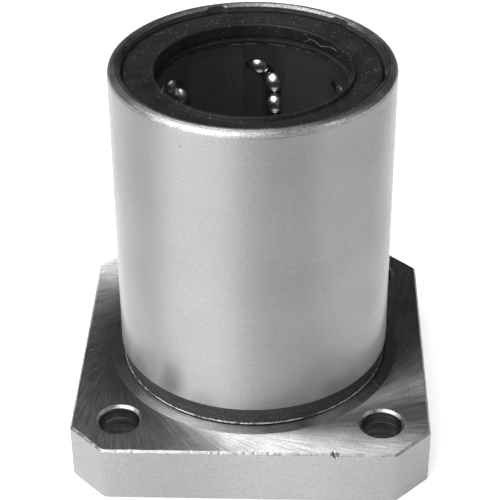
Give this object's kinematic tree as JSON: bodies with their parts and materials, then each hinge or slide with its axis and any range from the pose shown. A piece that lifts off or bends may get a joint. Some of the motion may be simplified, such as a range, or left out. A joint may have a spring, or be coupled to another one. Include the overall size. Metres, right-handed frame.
{
  "type": "flanged linear ball bearing",
  "caption": "Recirculating linear ball bearing: a ground steel barrel on a square screw-on flange, with a black cage, ball rows along the bore and a recessed rubber seal at each end.",
  "frame": {"origin": "centre of the flange's outer face, on the bore axis", "axes": "+Z along the bore axis, from the flange to the free end of the barrel; the flange's sides lie along X and Y"},
  "size_m": [0.058, 0.058, 0.064],
  "materials": {
    "sleeve_steel": "ground and turned bearing steel, satin",
    "ball_steel": "polished bearing balls",
    "ring_steel": "dark spring steel",
    "cage_resin": "black moulded resin",
    "seal_rubber": "matt black rubber with dust"
  },
  "bodies": {
    "sleeve": {"flanged_sleeve": "sleeve_steel", "ball_cage": "cage_resin", "upper_seal": "seal_rubber", "lower_seal": "seal_rubber", "upper_retaining_ring": "ring_steel", "lower_retaining_ring": "ring_steel"},
    "load_row_1": {"load_row_1": "ball_steel"},
    "return_row_1": {"return_row_1": "ball_steel"},
    "upper_turn_1": {"upper_turn_1": "ball_steel"},
    "lower_turn_1": {"lower_turn_1": "ball_steel"},
    "load_row_2": {"load_row_2": "ball_steel"},
    "return_row_2": {"return_row_2": "ball_steel"},
    "upper_turn_2": {"upper_turn_2": "ball_steel"},
    "lower_turn_2": {"lower_turn_2": "ball_steel"},
    "load_row_3": {"load_row_3": "ball_steel"},
    "return_row_3": {"return_row_3": "ball_steel"},
    "upper_turn_3": {"upper_turn_3": "ball_steel"},
    "lower_turn_3": {"lower_turn_3": "ball_steel"},
    "load_row_4": {"load_row_4": "ball_steel"},
    "return_row_4": {"return_row_4": "ball_steel"},
    "upper_turn_4": {"upper_turn_4": "ball_steel"},
    "lower_turn_4": {"lower_turn_4": "ball_steel"},
    "load_row_5": {"load_row_5": "ball_steel"},
    "return_row_5": {"return_row_5": "ball_steel"},
    "upper_turn_5": {"upper_turn_5": "ball_steel"},
    "lower_turn_5": {"lower_turn_5": "ball_steel"},
    "load_row_6": {"load_row_6": "ball_steel"},
    "return_row_6": {"return_row_6": "ball_steel"},
    "upper_turn_6": {"upper_turn_6": "ball_steel"},
    "lower_turn_6": {"lower_turn_6": "ball_steel"}
  },
  "joints": [
    {"name": "load_row_1_travel", "type": "slide", "parent": "sleeve", "child": "load_row_1", "axis": [0, 0, 1], "range_m": [-0.002, 0.002]},
    {"name": "return_row_1_travel", "type": "slide", "parent": "sleeve", "child": "return_row_1", "axis": [0, 0, -1], "range_m": [-0.002, 0.002]},
    {"name": "upper_turn_1_sweep", "type": "hinge", "parent": "sleeve", "child": "upper_turn_1", "pos_m": [-0.00136, 0.01737, 0.05082], "axis": [-0.1437, -0.9896, 0], "range_deg": [-24.8, 24.8]},
    {"name": "lower_turn_1_sweep", "type": "hinge", "parent": "sleeve", "child": "lower_turn_1", "pos_m": [-0.00136, 0.01737, 0.01318], "axis": [-0.1437, -0.9896, 0], "range_deg": [-24.8, 24.8]},
    {"name": "load_row_2_travel", "type": "slide", "parent": "sleeve", "child": "load_row_2", "axis": [0, 0, 1], "range_m": [-0.002, 0.002]},
    {"name": "return_row_2_travel", "type": "slide", "parent": "sleeve", "child": "return_row_2", "axis": [0, 0, -1], "range_m": [-0.002, 0.002]},
    {"name": "upper_turn_2_sweep", "type": "hinge", "parent": "sleeve", "child": "upper_turn_2", "pos_m": [-0.01572, 0.00751, 0.05082], "axis": [0.7852, -0.6193, 0], "range_deg": [-24.8, 24.8]},
    {"name": "lower_turn_2_sweep", "type": "hinge", "parent": "sleeve", "child": "lower_turn_2", "pos_m": [-0.01572, 0.00751, 0.01318], "axis": [0.7852, -0.6193, 0], "range_deg": [-24.8, 24.8]},
    {"name": "load_row_3_travel", "type": "slide", "parent": "sleeve", "child": "load_row_3", "axis": [0, 0, 1], "range_m": [-0.002, 0.002]},
    {"name": "return_row_3_travel", "type": "slide", "parent": "sleeve", "child": "return_row_3", "axis": [0, 0, -1], "range_m": [-0.002, 0.002]},
    {"name": "upper_turn_3_sweep", "type": "hinge", "parent": "sleeve", "child": "upper_turn_3", "pos_m": [-0.01436, -0.00986, 0.05082], "axis": [0.9289, 0.3703, 0], "range_deg": [-24.8, 24.8]},
    {"name": "lower_turn_3_sweep", "type": "hinge", "parent": "sleeve", "child": "lower_turn_3", "pos_m": [-0.01436, -0.00986, 0.01318], "axis": [0.9289, 0.3703, 0], "range_deg": [-24.8, 24.8]},
    {"name": "load_row_4_travel", "type": "slide", "parent": "sleeve", "child": "load_row_4", "axis": [0, 0, 1], "range_m": [-0.002, 0.002]},
    {"name": "return_row_4_travel", "type": "slide", "parent": "sleeve", "child": "return_row_4", "axis": [0, 0, -1], "range_m": [-0.002, 0.002]},
    {"name": "upper_turn_4_sweep", "type": "hinge", "parent": "sleeve", "child": "upper_turn_4", "pos_m": [0.00136, -0.01737, 0.05082], "axis": [0.1437, 0.9896, 0], "range_deg": [-24.8, 24.8]},
    {"name": "lower_turn_4_sweep", "type": "hinge", "parent": "sleeve", "child": "lower_turn_4", "pos_m": [0.00136, -0.01737, 0.01318], "axis": [0.1437, 0.9896, 0], "range_deg": [-24.8, 24.8]},
    {"name": "load_row_5_travel", "type": "slide", "parent": "sleeve", "child": "load_row_5", "axis": [0, 0, 1], "range_m": [-0.002, 0.002]},
    {"name": "return_row_5_travel", "type": "slide", "parent": "sleeve", "child": "return_row_5", "axis": [0, 0, -1], "range_m": [-0.002, 0.002]},
    {"name": "upper_turn_5_sweep", "type": "hinge", "parent": "sleeve", "child": "upper_turn_5", "pos_m": [0.01572, -0.00751, 0.05082], "axis": [-0.7852, 0.6193, 0], "range_deg": [-24.8, 24.8]},
    {"name": "lower_turn_5_sweep", "type": "hinge", "parent": "sleeve", "child": "lower_turn_5", "pos_m": [0.01572, -0.00751, 0.01318], "axis": [-0.7852, 0.6193, 0], "range_deg": [-24.8, 24.8]},
    {"name": "load_row_6_travel", "type": "slide", "parent": "sleeve", "child": "load_row_6", "axis": [0, 0, 1], "range_m": [-0.002, 0.002]},
    {"name": "return_row_6_travel", "type": "slide", "parent": "sleeve", "child": "return_row_6", "axis": [0, 0, -1], "range_m": [-0.002, 0.002]},
    {"name": "upper_turn_6_sweep", "type": "hinge", "parent": "sleeve", "child": "upper_turn_6", "pos_m": [0.01436, 0.00986, 0.05082], "axis": [-0.9289, -0.3703, 0], "range_deg": [-24.8, 24.8]},
    {"name": "lower_turn_6_sweep", "type": "hinge", "parent": "sleeve", "child": "lower_turn_6", "pos_m": [0.01436, 0.00986, 0.01318], "axis": [-0.9289, -0.3703, 0], "range_deg": [-24.8, 24.8]}
  ],
  "couplings": [
    {"joint": "return_row_1_travel", "follows": "load_row_1_travel", "ratio": 1},
    {"joint": "upper_turn_1_sweep", "follows": "load_row_1_travel", "rad_per_m": 216.38},
    {"joint": "lower_turn_1_sweep", "follows": "load_row_1_travel", "rad_per_m": 216.38},
    {"joint": "return_row_2_travel", "follows": "load_row_2_travel", "ratio": 1},
    {"joint": "upper_turn_2_sweep", "follows": "load_row_2_travel", "rad_per_m": 216.38},
    {"joint": "lower_turn_2_sweep", "follows": "load_row_2_travel", "rad_per_m": 216.38},
    {"joint": "return_row_3_travel", "follows": "load_row_3_travel", "ratio": 1},
    {"joint": "upper_turn_3_sweep", "follows": "load_row_3_travel", "rad_per_m": 216.38},
    {"joint": "lower_turn_3_sweep", "follows": "load_row_3_travel", "rad_per_m": 216.38},
    {"joint": "return_row_4_travel", "follows": "load_row_4_travel", "ratio": 1},
    {"joint": "upper_turn_4_sweep", "follows": "load_row_4_travel", "rad_per_m": 216.38},
    {"joint": "lower_turn_4_sweep", "follows": "load_row_4_travel", "rad_per_m": 216.38},
    {"joint": "return_row_5_travel", "follows": "load_row_5_travel", "ratio": 1},
    {"joint": "upper_turn_5_sweep", "follows": "load_row_5_travel", "rad_per_m": 216.38},
    {"joint": "lower_turn_5_sweep", "follows": "load_row_5_travel", "rad_per_m": 216.38},
    {"joint": "return_row_6_travel", "follows": "load_row_6_travel", "ratio": 1},
    {"joint": "upper_turn_6_sweep", "follows": "load_row_6_travel", "rad_per_m": 216.38},
    {"joint": "lower_turn_6_sweep", "follows": "load_row_6_travel", "rad_per_m": 216.38}
  ]
}
